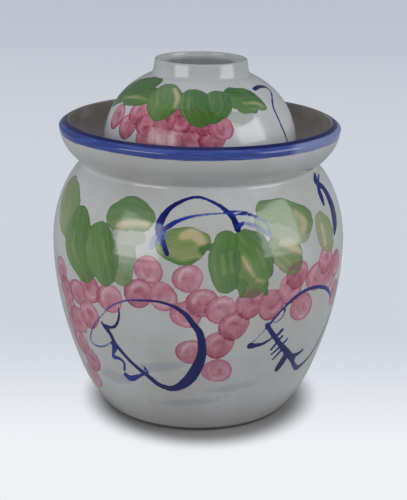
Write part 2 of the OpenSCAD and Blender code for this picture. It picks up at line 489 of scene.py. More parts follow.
def touched(art, points, radii, margin_mm):
    """The outside vertices near a path, their depth inside it, and the nearest path point of each."""
    rows = art["outside"]
    co = art["co"][rows]
    best = np.full(len(rows), -np.inf)
    nearest = np.zeros(len(rows), int)
    for start in range(0, len(points), STRETCH):
        part = points[start:start + STRETCH]
        wide = radii[start:start + STRETCH]
        centre = part.mean(0)
        reach_m = np.linalg.norm(part - centre, axis=1).max() + (wide.max() + margin_mm) * MM
        near = np.nonzero(((co - centre) ** 2).sum(1) < reach_m ** 2)[0]
        depth = wide[None] - np.linalg.norm(co[near][:, None] - part[None], axis=2) / MM
        pick = depth.argmax(1)
        depth = depth[np.arange(len(near)), pick]
        better = depth > best[near]
        best[near[better]] = depth[better]
        nearest[near[better]] = pick[better] + start
    keep = np.isfinite(best)
    return rows[keep], best[keep], nearest[keep]


def across_path(art, rows, points, nearest):
    """How far each vertex is to one side of the path, in millimetres."""
    run = np.gradient(points, axis=0)
    out = points * np.array([1, 1, 0])
    side = np.cross(run, out)
    side /= np.linalg.norm(side, axis=1)[:, None] + 1e-12
    return ((art["co"][rows] - points[nearest]) * side[nearest]).sum(1) / MM


def lay(art, layer, rows, inside, **values):
    """Paints a mark over what is there. Its values also run a little past its edge, on to the bare pot."""
    fields = art["fields"]
    take = (inside > 0) | (inside > fields[layer][rows])
    for name, value in values.items():
        fields[layer + "_" + name][rows[take]] = value[take] if isinstance(value, np.ndarray) else value
    fields[layer][rows] = np.maximum(fields[layer][rows], inside)


# %% [markdown]
# Three brushes make the whole pattern. A leaf is a fat dab with streaks along it, often with two colours
# on one brush. A grape is a round dab turned on the spot, so the pigment pools at its edge and in a
# swirl. Cobalt is a long thin stroke whose width and load follow the hand, and what is rinsed out of that
# brush makes the faint washes near the foot.

# %% The leaf brush
chance = random.Random(7)
LEAN = 0.3
EDGE_MM = 6
LEAF_STEP_MM = 0.8


def along_stroke(marks, nearest, values):
    """A value for each vertex, from values spread evenly along the stroke."""
    share = marks[nearest] / marks[-1]
    return np.interp(share, np.linspace(0, 1, len(values)), values)


def paint_leaf(art, places, widths, tone, load):
    """A dab along a path. A tone of 0 is fresh green and 1 is beige. Load is how thick the paint is."""
    points, radii, marks = smooth_path(places, widths, LEAF_STEP_MM, art["outline"])
    rows, depth, nearest = touched(art, points, radii, EDGE_MM)
    across = across_path(art, rows, points, nearest)
    offset = chance.uniform(0, 90)
    lean = np.clip(0.5 + across / (2 * radii.max()), 0, 1) - 0.5
    lay(
        art, "leaf", rows, depth, depth=depth, along=marks[nearest] + offset, across=across + offset,
        tone=np.clip(tone + LEAN * lean, 0, 1), load=along_stroke(marks, nearest, load), pink=0.0
    )


def rework(art, places, widths, name, value):
    """A second pass over a wet leaf, which changes one of its fields and leaves no edge."""
    points, radii, _ = smooth_path(places, widths, LEAF_STEP_MM, art["outline"])
    rows, depth, _ = touched(art, points, radii, 1)
    field = art["fields"][name]
    share = np.clip(0.35 + depth / 2.2, 0, 1)
    field[rows] += (value - field[rows]) * share


# %% The grape brush


def paint_grape(art, at, radius, richness):
    """A round dab turned on the spot, which leaves a pale arc where bristles lifted and a darker edge."""
    centre = place(at[0], at[1], art["outline"])[None]
    rows, depth, _ = touched(art, centre, np.array([radius]), EDGE_MM)
    offset = (art["co"][rows] - centre) / MM
    east = np.array([-math.sin(math.radians(at[0])), math.cos(math.radians(at[0])), 0])
    x = offset @ east
    y = offset[:, 2]
    spin = chance.uniform(0, 2 * math.pi)
    angle = np.arctan2(y, x)
    far = np.hypot(x, y) / radius
    depth = depth + 0.55 * np.sin(2 * angle + spin) + 0.3 * np.sin(3 * angle - spin)
    swirl = np.sin(angle + 4.2 * far + spin) * np.clip(far * 2, 0, 1)
    ring = far - 0.6 - 0.07 * np.sin(2 * angle - spin)
    lifted = np.exp(-(ring / 0.09) ** 2) * np.clip(0.2 + np.sin(angle - spin), 0, 1)
    heart = np.exp(-((far - 0.2) / 0.13) ** 2) * np.clip(np.sin(angle - 2 * spin), 0, 1)
    edge = np.clip(far * 6 - 5, 0, 1) * (0.55 - 0.45 * np.sin(angle))
    tone = 0.46 + 0.1 * swirl - 0.3 * lifted + 0.22 * heart + 0.2 * edge + richness
    tone += chance.uniform(-0.06, 0.1) + 0.14 * (art["fields"]["grape"][rows] > 0)
    lay(art, "grape", rows, depth, depth=depth, tone=np.clip(tone, 0, 1))


# %% The cobalt brush and the wash
COBALT_STEP_MM = 0.5
COBALT_EDGE_MM = 5
WASH_STEP_MM = 1.5


def paint_cobalt(art, places, widths, load):
    """A pulled stroke. Widths are half widths in millimetres, and load is how dark the pigment is."""
    points, radii, marks = smooth_path(places, widths, COBALT_STEP_MM, art["outline"])
    rows, depth, nearest = touched(art, points, radii, COBALT_EDGE_MM)
    across = across_path(art, rows, points, nearest)
    strength = along_stroke(marks, nearest, load)
    lay(art, "cobalt", rows, depth, load=strength, along=marks[nearest], across=across)


def paint_wash(art, places, widths, load):
    """A pale film of rinse water that a tired brush leaves."""
    points, radii, _ = smooth_path(places, widths, WASH_STEP_MM, art["outline"])
    rows, depth, _ = touched(art, points, radii, EDGE_MM)
    lay(art, "wash", rows, depth, load=load)


# %% [markdown]
# The marks follow the kind, colour, size and spread of those on the real jar, and are laid by the brushes
# above. Each is given by points in pixels of the photograph, no more than its bends need, and the pot's own
# surface turns them into angles and heights. The back can't be seen, so the pattern is carried on round it:
# the same marks the other way round, each shifted a little.

# %% Leaves on the jar: path in pixels, half widths in millimetres, tone, load
JAR_LEAVES = [
    ([(68, 190), (68, 208), (67, 226)], (12, 17, 8), 0.52, (0.95,)),
    # This dab and the next are thinly loaded where the left softbox is mirrored in the glaze, so their
    # paleness is partly a painted reflection.
    ([(124, 240), (123, 257), (122, 276)], (8, 9.5, 8), 0.42, (0.6, 0.65, 0.95)),
    ([(118, 236), (130, 237), (140, 238)], (5, 6, 4), 0.4, (0.45,)),
    ([(79, 220), (77, 243), (84, 265)], (10.5, 18, 13), 0.2, (1.0,)),
    ([(99, 236), (101, 255), (104, 273)], (10.5, 15, 10), 0.22, (1.0,)),
    ([(119, 215), (130, 213), (142, 218)], (10.5, 12, 9), 0.26, (0.95,)),
    ([(168, 245), (184, 246), (200, 242)], (9, 13, 8), 0.56, (1.0,)),
    ([(208, 247), (214, 247)], (3, 3), 0.1, (1.0,)),
    ([(243, 262), (249, 276), (252, 288)], (7.5, 9.5, 8.5), 0.35, (1.0,)),
    ([(242, 284), (242, 297)], (4, 1.2), 0.25, (1.0,)),
    ([(262, 281), (266, 294)], (5, 1.8), 0.2, (1.0,)),
    ([(281, 246), (289, 255), (295, 264)], (10, 12, 8), 0.42, (0.95,)),
    # This dab is thinly loaded where the right softbox is mirrored in the glaze, so its paleness is partly a
    # painted reflection.
    ([(264, 221), (284, 226), (302, 230)], (7.5, 10.5, 9), 0.46, (0.75,)),
    ([(266, 211), (284, 211), (303, 220)], (8, 9.5, 10.5), 0.34, (0.95,)),
    ([(245, 241), (255, 252), (262, 270)], (8, 12, 9.5), 0.24, (1.0,)),
    ([(226, 243), (224, 262), (226, 281)], (8.5, 11.5, 9), 0.2, (1.0,)),
    ([(322, 222), (326, 232), (330, 242)], (8, 12, 8), 0.6, (0.85,)),
]
print(len(JAR_LEAVES), "leaf dabs")

# %% Second passes on the leaves: path in pixels, half widths in millimetres, tone
JAR_STREAKS = [
    ([(118, 225), (132, 223), (147, 224)], (2.5, 3.2, 2.5), 0.95),
    ([(74, 232), (73, 248), (78, 262)], (1.8, 2.0, 1.2), 0.5),
    ([(103, 240), (106, 262)], (1.4, 1.2), 0.55),
    ([(183, 236), (194, 234), (202, 242)], (3, 4.5, 3.5), 1.0),
    ([(203, 250), (206, 254)], (3.5, 3), 0.05),
    ([(164, 258), (182, 264), (197, 260)], (2.5, 2.5, 2), 0.15),
    ([(160, 240), (170, 232), (180, 229)], (3, 3, 2), 0.35),
    ([(222, 256), (224, 274)], (1.6, 1.6), 0.55),
    ([(230, 252), (232, 272)], (1.2, 1.2), 0.45),
    ([(258, 250), (264, 264)], (1.6, 1.6), 0.5),
    ([(243, 257), (248, 266), (254, 277)], (1.5, 2.2, 1.5), 1.0),
    ([(257, 281), (264, 282)], (2, 1.5), 0.95),
    ([(283, 242), (292, 245), (301, 252)], (3.5, 4, 2.5), 0.95),
    ([(276, 262), (284, 268)], (1.2, 1.0), 0.85),
    ([(278, 254), (290, 263)], (1.0, 1.2), 0.8),
    # A beige pass where the right softbox is mirrored in the glaze: partly a painted reflection.
    ([(296, 213), (304, 221), (303, 231)], (3, 4, 3), 0.9),
    ([(322, 226), (326, 244)], (2.0, 2.4), 1.0),
]
JAR_PINKS = [
    ([(291, 269), (298, 266), (303, 262)], (2, 3.5, 2)),
    ([(247, 297), (254, 294), (261, 298)], (3, 4.5, 3)),
]
print(len(JAR_STREAKS) + len(JAR_PINKS), "second passes")

# %% Grapes on the jar: centres in pixels
GRAPE_MM = 10.8
JAR_GRAPES = [
    (61, 269), (66, 289), (70, 307), (77, 292), (74, 326), (81, 342), (89.5, 288), (88.5, 315),
    (78, 319), (94, 376), (91.5, 359), (109, 298.5), (148, 270), (138, 293.5), (163, 297), (187.5, 279),
    (185.5, 315), (190.5, 352), (202, 303), (217, 371), (218.5, 345), (220.5, 310), (234, 326),
    (250, 304), (271.5, 305), (302, 307), (291, 288.5), (298, 275), (316.5, 276.5), (326.5, 259),
    (329.5, 276), (336, 263), (334, 292),
]
print(len(JAR_GRAPES), "grapes")

# %% Cobalt strokes on the jar: path in pixels, half widths in millimetres, load
JAR_COBALT = [
    ([(151, 248), (155, 241), (162, 236)], (1.2, 3.4, 3.2), (0.12, 0.2)),
    (
        [(167, 254), (163, 243), (160, 234), (160, 223), (169, 209), (184, 200), (198, 197), (211, 201),
         (223, 208), (233, 218), (238, 229)],
        (1.6, 2.0, 2.7, 2.9, 1.9, 1.3, 1.15, 1.15, 1.5, 2.0, 2.4), (1.0, 0.6, 1.0, 1.0, 0.8, 0.75, 0.9, 1.0)
    ),
    ([(238, 226), (243, 223)], (2.0, 1.2), (0.8, 0.6)),
    (
        [(163, 230), (172, 224), (180, 220), (194, 216), (209, 214), (224, 213.5), (240, 214.5),
         (250, 215), (258, 217.5)],
        (1.8, 1.7, 1.3, 1.0, 0.8, 0.7, 0.7, 0.9, 1.1), (0.9, 0.6, 0.5, 0.5, 0.6, 0.95)
    ),
    ([(231, 211), (245, 212), (257, 216.5)], (0.8, 0.8, 1.0), (0.7, 0.9)),
    ([(258, 218), (266, 222), (271, 234)], (1.2, 1.0, 1.4), (0.3, 0.2)),
    ([(245, 223), (258, 227), (270, 236)], (1.0, 1.6, 1.2), (0.3, 0.15)),
    (
        [(110, 343), (105, 346), (99, 346.5), (93.5, 344), (90.5, 339), (91, 333), (93.5, 327), (97.5, 320),
         (102.5, 314.5), (109, 307.5), (119, 302.5), (129, 300.3), (144, 300.5), (157, 301.5),
         (168.5, 304.5), (177.5, 308.5), (186.5, 315.5), (192.5, 323.5), (199.5, 333), (202, 347),
         (200.5, 359), (195, 371), (188, 380.5), (178.5, 387), (170, 388.5), (163.5, 386.5)],
        (0.7, 0.9, 0.9, 0.9, 0.85, 0.75, 0.65, 0.6, 0.6, 0.65, 0.7, 0.75, 0.9, 1.0, 1.2, 1.5, 1.8, 2.1,
         2.6, 3.0, 3.6, 4.2, 4.2, 3.2, 2.5, 2.2),
        (0.3, 0.6, 0.65, 0.55, 0.6, 0.75, 0.9, 0.95, 1.0, 1.0, 1.0, 1.0, 0.95)
    ),
    (
        [(163.5, 387), (157, 383.5), (149, 377), (139, 369), (129, 360), (121, 351), (114.5, 342),
         (109.5, 333), (105, 327), (101, 322)],
        (2.2, 2.0, 1.9, 1.7, 1.6, 1.6, 1.6, 1.8, 1.8, 0.9), (0.95, 0.9, 0.9, 1.0, 1.0)
    ),
    (
        [(118.5, 308.5), (119, 317), (116, 325), (111.5, 327.5), (105.5, 326)],
        (0.9, 1.0, 1.1, 1.2, 1.4), (1.0,)
    ),
    ([(112.5, 343), (114.5, 348), (112.5, 355)], (1.8, 2.4, 0.7), (0.85, 0.7)),
    ([(114, 357), (119, 358.5), (124, 363), (124.5, 371)], (2.0, 1.6, 1.2, 0.9), (0.6, 0.75)),
    ([(126, 375), (131, 378.5), (139, 376), (148, 372)], (2.2, 2.7, 1.6, 0.9), (0.7, 0.75)),
    ([(143, 365), (146, 370)], (0.5, 1.2), (0.8,)),
    (
        [(266.5, 328.5), (271.5, 322), (282, 310), (288, 304), (297, 296), (307, 290), (317.5, 287),
         (325.5, 288), (330, 293), (331, 301), (330, 311)],
        (1.2, 1.0, 1.0, 1.2, 1.35, 1.4, 1.5, 1.6, 1.5, 0.6, 0.35), (0.9, 0.8, 0.85, 0.85, 0.6, 0.2)
    ),
    (
        [(330, 311), (328, 320), (322.5, 332.5), (316.5, 345), (310.5, 355), (303.5, 363), (297, 368),
         (293.5, 364), (291, 357)],
        (0.4, 1.3, 1.7, 1.9, 1.9, 1.9, 2.3, 1.9, 1.8), (0.2, 0.9, 1.0, 1.0, 0.85, 0.85)
    ),
    ([(267, 325), (272, 333), (279, 343)], (1.7, 1.9, 1.9), (0.85, 0.95)),
    ([(279, 343), (286, 351), (293, 360)], (1.9, 2.6, 2.6), (1.0, 1.0)),
    ([(287, 353), (283, 361), (277.5, 369)], (2.4, 3.4, 2.6), (1.0, 1.0)),
    ([(291, 356), (298, 354), (303, 350)], (1.8, 1.7, 1.3), (0.95, 1.0)),
    ([(282.5, 330), (275, 338)], (1.5, 1.1), (0.9,)),
    ([(282.5, 336), (271, 350)], (1.1, 1.1), (0.9,)),
    ([(287.5, 339), (279, 348), (271, 355)], (1.0, 1.1, 0.8), (0.9,)),
    ([(281, 351), (272.5, 360)], (1.1, 0.9), (0.75,)),
    ([(250.5, 346), (256, 345.5), (263, 344), (271, 339)], (2.6, 1.8, 1.3, 1.0), (0.95, 0.85)),
    ([(253, 342), (264, 331)], (0.5, 0.5), (0.6,)),
    ([(271.5, 322.5), (277, 322), (283, 316), (285.5, 309)], (0.8, 0.7, 0.7, 0.9), (0.75,)),
    (
        [(311, 173), (316, 182), (323, 187), (329, 197), (333, 208), (335, 220), (335, 233)],
        (1.4, 2.2, 3.4, 4.6, 5.4, 5.0, 1.8), (0.9, 1.0)
    ),
    ([(318, 186), (321, 195), (324, 204)], (1.6, 3.0, 1.6), (0.9,)),
    ([(319, 174), (317, 184)], (0.9, 1.2), (0.8,)),
]
print(len(JAR_COBALT), "cobalt strokes")

# %% Washes on the jar: path in pixels, half widths in millimetres, load
JAR_WASHES = [
    ([(103, 372), (113, 376), (127, 379)], (3, 6, 4), 0.32),
    ([(143, 367), (160, 367), (182, 365)], (3, 4, 2), 0.3),
    ([(150, 400), (175, 403), (205, 401), (228, 397)], (1.5, 3, 3, 1.5), 0.3),
    ([(206, 392), (232, 388), (258, 381)], (1.5, 3.5, 1.5), 0.22),
]
print(len(JAR_WASHES), "washes")

# %% [markdown]
# A mark drawn for the front is laid a second time behind, with its angle turned the other way round the
# axis. A seeded random number shifts each copy, so the back doesn't look like a stamp, and the result is
# the same on every run. Marks near the sides would collide with their own copies, so they have none.

# %% Front and back
SHIFT_DEG = 3
SHIFT_MM = 3
EDGE_DEG = 14


def front(points, outline):
    """The places on the pot under a mark's pixels."""
    return [on_surface(x, y, outline) for x, y in points]


def behind(places):
    """The same mark the other way round on the far side, or None where it would meet the front."""
    mean = math.degrees(math.atan2(
        sum(math.sin(math.radians(angle)) for angle, _ in places),
        sum(math.cos(math.radians(angle)) for angle, _ in places)
    ))
    if abs(mean) < EDGE_DEG or abs(mean) > 180 - EDGE_DEG:
        return None
    turn_by = chance.uniform(-SHIFT_DEG, SHIFT_DEG)
    rise = chance.uniform(-SHIFT_MM, SHIFT_MM)
    return [(-angle + turn_by, height + rise) for angle, height in places]


def both_sides(points, outline):
    """A mark's places on the front, and on the back where there is room."""
    places = front(points, outline)
    return [side for side in (places, behind(places)) if side]


# %% Paint the jar
GRAPE_SPREAD = (0.95, 1.04)
jar_art = canvas(body, jar_outside)
for path, widths, load in JAR_WASHES:
    for side in both_sides(path, jar_outside):
        paint_wash(jar_art, side, widths, load)
for x, y in JAR_GRAPES:
    for side in both_sides([(x, y)], jar_outside):
        paint_grape(jar_art, side[0], GRAPE_MM * chance.uniform(*GRAPE_SPREAD), 0.0)
for path, widths, tone, load in JAR_LEAVES:
    for side in both_sides(path, jar_outside):
        paint_leaf(jar_art, side, widths, tone, load)
for path, widths, tone in JAR_STREAKS:
    for side in both_sides(path, jar_outside):
        rework(jar_art, side, widths, "leaf_tone", tone)
for path, widths in JAR_PINKS:
    for side in both_sides(path, jar_outside):
        rework(jar_art, side, widths, "leaf_pink", 1.0)
for path, widths, load in JAR_COBALT:
    for side in both_sides(path, jar_outside):
        paint_cobalt(jar_art, side, widths, load)
print("painted vertices", int((jar_art["fields"]["leaf"] > 0).sum()), "leaf,",
      int((jar_art["fields"]["grape"] > 0).sum()), "grape")

# %% [markdown]
# The lid has the same pattern on a smaller scale: five leaves in a row with a bunch of grapes under them,
# and one thin tendril at the right. Its brushes are the jar's own, loaded a little fuller.

# %% Marks on the lid, in the same form
LID_GRAPE_MM = 9.2
LID_LEAVES = [
    ([(232, 117), (242, 118), (250, 116)], (3.5, 4.5, 3), 0.35, (0.4,)),
    ([(117, 98), (131, 89), (149, 84)], (8, 12, 10), 0.02, (1.0,)),
    ([(128, 99), (140, 97), (152, 94)], (5, 7.5, 7), 0.12, (1.0,)),
    ([(237, 97), (248, 98), (264, 106)], (10.5, 9.5, 3), 0.1, (1.0,)),
    ([(243, 107), (254, 109)], (5, 3.5), 0.16, (1.0,)),
    ([(218, 99.5), (218, 107), (212, 115)], (9.2, 9.5, 6.5), 0.08, (1.0,)),
    ([(165, 94), (164, 101), (160, 109)], (11, 13, 9), 0.24, (1.0,)),
    ([(194, 99), (194, 107), (201, 116)], (10.5, 11, 8), 0.04, (1.0,)),
]
LID_STREAKS = [
    ([(175, 89), (178, 97), (175, 107)], (1.8, 2.4, 1.5), 0.95),
    ([(158, 92), (157, 104)], (1.4, 1.2), 0.6),
    ([(190, 97), (188, 108)], (1.0, 1.0), 0.4),
    ([(244, 103), (256, 103), (265, 107)], (1.0, 1.4, 0.8), 0.95),
    ([(250, 109), (262, 108)], (1.0, 0.8), 0.6),
    ([(124, 97), (136, 97), (146, 99)], (1.2, 1.6, 1.0), 0.8),
]
LID_GRAPES = [
    (117, 116), (160, 136), (145, 139), (178, 139), (194, 139), (212, 141), (127, 126), (139, 112.5),
    (146, 125), (205, 123), (192, 119), (179, 120), (164, 121), (221, 128),
]
LID_COBALT = [
    ([(254, 89), (259, 86.5), (266, 87), (272, 93)], (1.7, 1.8, 1.3, 0.9), (1.0, 0.9)),
    ([(270, 90), (273, 105), (280, 122), (286, 136), (289, 147)], (0.9, 1.0, 1.0, 1.0, 0.7), (0.75, 0.85)),
]

print(len(LID_LEAVES), "leaf dabs and", len(LID_GRAPES), "grapes on the lid")

# %% Paint the lid
lid_outside = chain(lip, dome)
lid_art = canvas(lid, lid_outside)
for x, y in LID_GRAPES:
    for side in both_sides([(x, y)], lid_outside):
        paint_grape(lid_art, side[0], LID_GRAPE_MM * chance.uniform(*GRAPE_SPREAD), 0.1)
for path, widths, tone, load in LID_LEAVES:
    for side in both_sides(path, lid_outside):
        paint_leaf(lid_art, side, widths, tone, load)
for path, widths, tone in LID_STREAKS:
    for side in both_sides(path, lid_outside):
        rework(lid_art, side, widths, "leaf_tone", tone)
for path, widths, load in LID_COBALT:
    for side in both_sides(path, lid_outside):
        paint_cobalt(lid_art, side, widths, load)
print("painted vertices", int((lid_art["fields"]["leaf"] > 0).sum()), "leaf,",
      int((lid_art["fields"]["grape"] > 0).sum()), "grape")

# %% [markdown]
# The marks now go on to the meshes as attributes, one number for each vertex, which a material can read by
# name. The same way of keeping numbers tells outside from inside, because the inside was glazed by pouring
# and is darker, and that darkness is partly painted shade. In the lid's dish that mark is painted shade in
# the recess, and it fades out towards the ring.

# %% Keep each field on its mesh


def keep_field(piece, name, values):
    """Stores one number for each vertex."""
    field = piece.data.attributes.new(name, "FLOAT", "POINT")
    field.data.foreach_set("value", np.asarray(values, np.float32))


for art in (jar_art, lid_art):
    for name, values in art["fields"].items():
        keep_field(art["piece"], name, values)
print(len(FIELDS), "fields on each painted piece")

# %% Mark the insides and the lid's dish, darker partly as painted shade
DISH_R = 28
DISH_FADE = 6
JAR_SKIN = 3
LID_SKIN = 2.5


def keep_inner(piece, middle):
    """Marks what lies inside a line of (radius, height) points as the darker inside, partly painted shade,
    and the lid's dish as painted shade.
    """
    co = np.zeros(len(piece.data.vertices) * 3)
    piece.data.vertices.foreach_get("co", co)
    co = co.reshape(-1, 3)
    radius = np.hypot(co[:, 0], co[:, 1]) / MM
    height = co[:, 2] / MM
    inside = radius < np.interp(height, middle[:, 1], middle[:, 0])
    # The lid's dish is darkened as painted shade in its recess, fading out towards the ring.
    in_dish = np.clip((DISH_R - radius) / DISH_FADE, 0, 1)
    keep_field(piece, "inner", np.where(height > dish_z - 0.5, in_dish, inside))


moat_middle = [(SEAT_R + 1, floor_z - 9), (83, floor_z), (95.5, floor_z + 7), (crest_r, crest_z)]
keep_inner(moat, np.array(moat_middle))
keep_inner(body, jar_outside - np.array([JAR_SKIN, 0]))
keep_inner(lid, lid_outside - np.array([LID_SKIN, 0]))
keep_inner(grip, np.array([(0, root_z), (0, top_z)]))
print("insides marked on", [piece.name for piece in (body, moat, lid, grip)])

# %% [markdown]
# A material is a small machine of nodes. What several finishes share is built once as a node group with
# named inputs and outputs: the glaze with its mottling, specks and ripples, the ragged edge of a brush
# mark, and the streaks that bristles leave. The groups put out colours, masks and normals only, and each
# material keeps its own shader.

# %% Colours and nodes


def tint(red, green, blue):
    """A colour as it is seen on a screen, from 0 to 255, as the linear colour that Blender works in."""
    parts = [c / 255 for c in (red, green, blue)]
    return tuple(c / 12.92 if c <= 0.04045 else ((c + 0.055) / 1.055) ** 2.4 for c in parts) + (1,)


def add(tree, kind, inputs=None, **settings):
    """Adds a node, with its settings and with values or links on its inputs."""
    made = tree.nodes.new("ShaderNode" + kind)
    for name, value in settings.items():
        setattr(made, name, value)
    for name, value in (inputs or {}).items():
        if isinstance(value, bpy.types.NodeSocket):
            tree.links.new(value, made.inputs[name])
        else:
            made.inputs[name].default_value = value
    return made


# %% Small steps between nodes


def calc(tree, operation, a, b=0.0, clamp=False):
    """One step of arithmetic."""
    return add(tree, "Math", {0: a, 1: b}, operation=operation, use_clamp=clamp).outputs[0]


def blend_colour(tree, factor, a, b, mode="MIX"):
    """Colour a turned into colour b by a factor."""
    made = add(tree, "Mix", {0: factor, 6: a, 7: b}, data_type="RGBA", blend_type=mode)
    return made.outputs[2]


def ease(tree, value, low, high):
    """0 below low, 1 above high and smooth between."""
    made = add(tree, "MapRange", {"Value": value, "From Min": low, "From Max": high},
               interpolation_type="SMOOTHSTEP")
    return made.outputs["Result"]


def noise(tree, vector, scale, detail=3.0, rough=0.55):
    """The value of a noise texture."""
    inputs = {"Vector": vector, "Scale": scale, "Detail": detail, "Roughness": rough}
    return add(tree, "TexNoise", inputs).outputs["Fac"]


def ramp(tree, value, stops):
    """A colour from a list of (position, colour) stops."""
    made = add(tree, "ValToRGB", {"Fac": value})
    line = made.color_ramp.elements
    line[0].position, line[0].color = stops[0]
    line[1].position, line[1].color = stops[-1]
    for position, colour in stops[1:-1]:
        line.new(position).color = colour
    return made.outputs["Color"]


def swing(tree, value, size):
    """A noise value from 0 to 1 turned into a swing either side of zero."""
    return calc(tree, "MULTIPLY", calc(tree, "SUBTRACT", value, 0.5), size)


# %% What materials read, and groups


def object_place(tree):
    """The place on the object, in metres."""
    return add(tree, "TexCoord").outputs["Object"]


def read(tree, name):
    """The value of a field kept on the mesh."""
    return add(tree, "Attribute", attribute_name=name).outputs["Fac"]


def group(name, inputs, outputs):
    """An empty node group with its sockets, and the nodes at both of its ends."""
    tree = bpy.data.node_groups.new(name, "ShaderNodeTree")
    for socket, kind, value in inputs:
        made = tree.interface.new_socket(socket, in_out="INPUT", socket_type="NodeSocket" + kind)
        made.default_value = value
    for socket, kind in outputs:
        tree.interface.new_socket(socket, in_out="OUTPUT", socket_type="NodeSocket" + kind)
    return tree, tree.nodes.new("NodeGroupInput").outputs, tree.nodes.new("NodeGroupOutput").inputs


def use(tree, shared, **inputs):
    """Places a shared group in a material and returns its outputs."""
    made = tree.nodes.new("ShaderNodeGroup")
    made.node_tree = shared
    for name, value in inputs.items():
        if isinstance(value, bpy.types.NodeSocket):
            tree.links.new(value, made.inputs[name])
        else:
            made.inputs[name].default_value = value
    return made.outputs


# %% [markdown]
# The glaze is nearly opaque grey-white glass. Three things give it life: slow cloudy changes where it
# ran thicker, a few iron specks burnt out of the clay, and a surface that is not quite flat, with the
# soft dimples of melted glass over the rings that the fingers left.

# %% The glaze surface group
glaze_surface, given, give = group(
    "glaze surface",
    [("Thin", "Color", (1, 1, 1, 1)), ("Thick", "Color", (1, 1, 1, 1)), ("Specks", "Float", 0.5)],
    [("Color", "Color"), ("Roughness", "Float"), ("Normal", "Vector")],
)
SPECK = tint(112, 98, 80)
place_on = object_place(glaze_surface)
cloud = ease(glaze_surface, noise(glaze_surface, place_on, 16.0, 4.0), 0.3, 0.72)
colour = blend_colour(glaze_surface, cloud, given["Thin"], given["Thick"])
crumbs = add(glaze_surface, "TexVoronoi", {"Vector": place_on, "Scale": 240.0}, feature="F1")
rare = ease(glaze_surface, noise(glaze_surface, place_on, 90.0, 1.0), 0.62, 0.70)
dot = ease(glaze_surface, crumbs.outputs["Distance"], 0.16, 0.07)
speck = calc(glaze_surface, "MULTIPLY", calc(glaze_surface, "MULTIPLY", dot, rare), given["Specks"])
colour = blend_colour(glaze_surface, speck, colour, SPECK)
dimples = noise(glaze_surface, place_on, 130.0, 2.0)
slow = noise(glaze_surface, place_on, 26.0, 2.0)
relief = calc(glaze_surface, "ADD", calc(glaze_surface, "MULTIPLY", dimples, 0.25), slow)
bump = add(glaze_surface, "Bump", {"Height": relief, "Strength": 0.35, "Distance": 0.0009})
rubbed = calc(glaze_surface, "MULTIPLY", noise(glaze_surface, place_on, 45.0, 3.0), 0.10)
glaze_surface.links.new(colour, give["Color"])
glaze_surface.links.new(calc(glaze_surface, "ADD", rubbed, 0.09), give["Roughness"])
glaze_surface.links.new(bump.outputs["Normal"], give["Normal"])

# %% [markdown]
# A brush never leaves a clean edge. The depth of each vertex inside its mark is shaken by fine noise and
# then cut at zero, softly or hard, so one group serves leaves, grapes, cobalt, washes and the band, each
# with its own raggedness. A stroke's bristles are noise stretched along the path that the brush took.

# %% The brush edge group
brush_edge, given, give = group(
    "brush edge",
    [("Depth", "Float", 0.0), ("Ragged", "Float", 0.5), ("Soft", "Float", 0.3), ("Grain", "Float", 420.0)],
    [("Mask", "Float")],
)
grain = noise(brush_edge, object_place(brush_edge), given["Grain"], 3.0)
rough_depth = calc(brush_edge, "ADD", given["Depth"], swing(brush_edge, grain, given["Ragged"]))
low = calc(brush_edge, "MULTIPLY", given["Soft"], -1.0)
brush_edge.links.new(ease(brush_edge, rough_depth, low, given["Soft"]), give["Mask"])

# %% The bristle streak group
bristle, given, give = group(
    "bristle streaks",
    [("Along", "Float", 0.0), ("Across", "Float", 0.0), ("Pitch", "Float", 0.6)],
    [("Streak", "Float")],
)
drawn = add(bristle, "CombineXYZ", {
    "X": calc(bristle, "MULTIPLY", given["Along"], 0.045),
    "Y": calc(bristle, "MULTIPLY", given["Across"], given["Pitch"]),
})
streak = ease(bristle, noise(bristle, drawn.outputs["Vector"], 1.0, 3.0, 0.6), 0.28, 0.72)
bristle.links.new(streak, give["Streak"])
print("node groups", [tree.name for tree in (glaze_surface, brush_edge, bristle)])

# %% [markdown]
# The painted glaze reads the strokes that were kept on the mesh. Leaf green runs from fresh to olive and
# beige across each dab, because the brush was loaded with two colours. Grape pink is thick at its rim and
# in its swirl. Cobalt is nearly black-blue where it is thick and a clear mid blue where it is thin.

# %% Colours of the decoration
LEAF_STOPS = [
    (0.0, tint(38, 96, 22)), (0.3, tint(84, 124, 58)), (0.55, tint(116, 136, 78)),
    (0.8, tint(149, 150, 104)), (1.0, tint(182, 169, 130)),
]
GRAPE_STOPS = [
    (0.0, tint(212, 170, 182)), (0.35, tint(187, 121, 141)), (0.65, tint(166, 85, 109)),
    (1.0, tint(132, 46, 74)),
]
LEAF_POOL = tint(48, 84, 38)
LEAF_OVER_PINK = tint(112, 84, 84)
COBALT_THIN = tint(80, 108, 182)
COBALT_MID = tint(28, 52, 142)
COBALT_THICK = tint(4, 12, 82)
WASH_TINT = tint(112, 130, 152)
print(len(LEAF_STOPS), "greens and", len(GRAPE_STOPS), "pinks")

# %% A material from a function that makes its nodes


def finish(name, tree_maker):
    """A material whose nodes are made by a function, which returns its colour, roughness and normal."""
    material = bpy.data.materials.new(name)
    material.use_nodes = True
    tree = material.node_tree
    shader = tree.nodes["Principled BSDF"]
    colour, rough, normal = tree_maker(tree)
    tree.links.new(colour, shader.inputs["Base Color"])
    tree.links.new(rough, shader.inputs["Roughness"])
    tree.links.new(normal, shader.inputs["Normal"])
    return material


# %% Grapes under the glaze


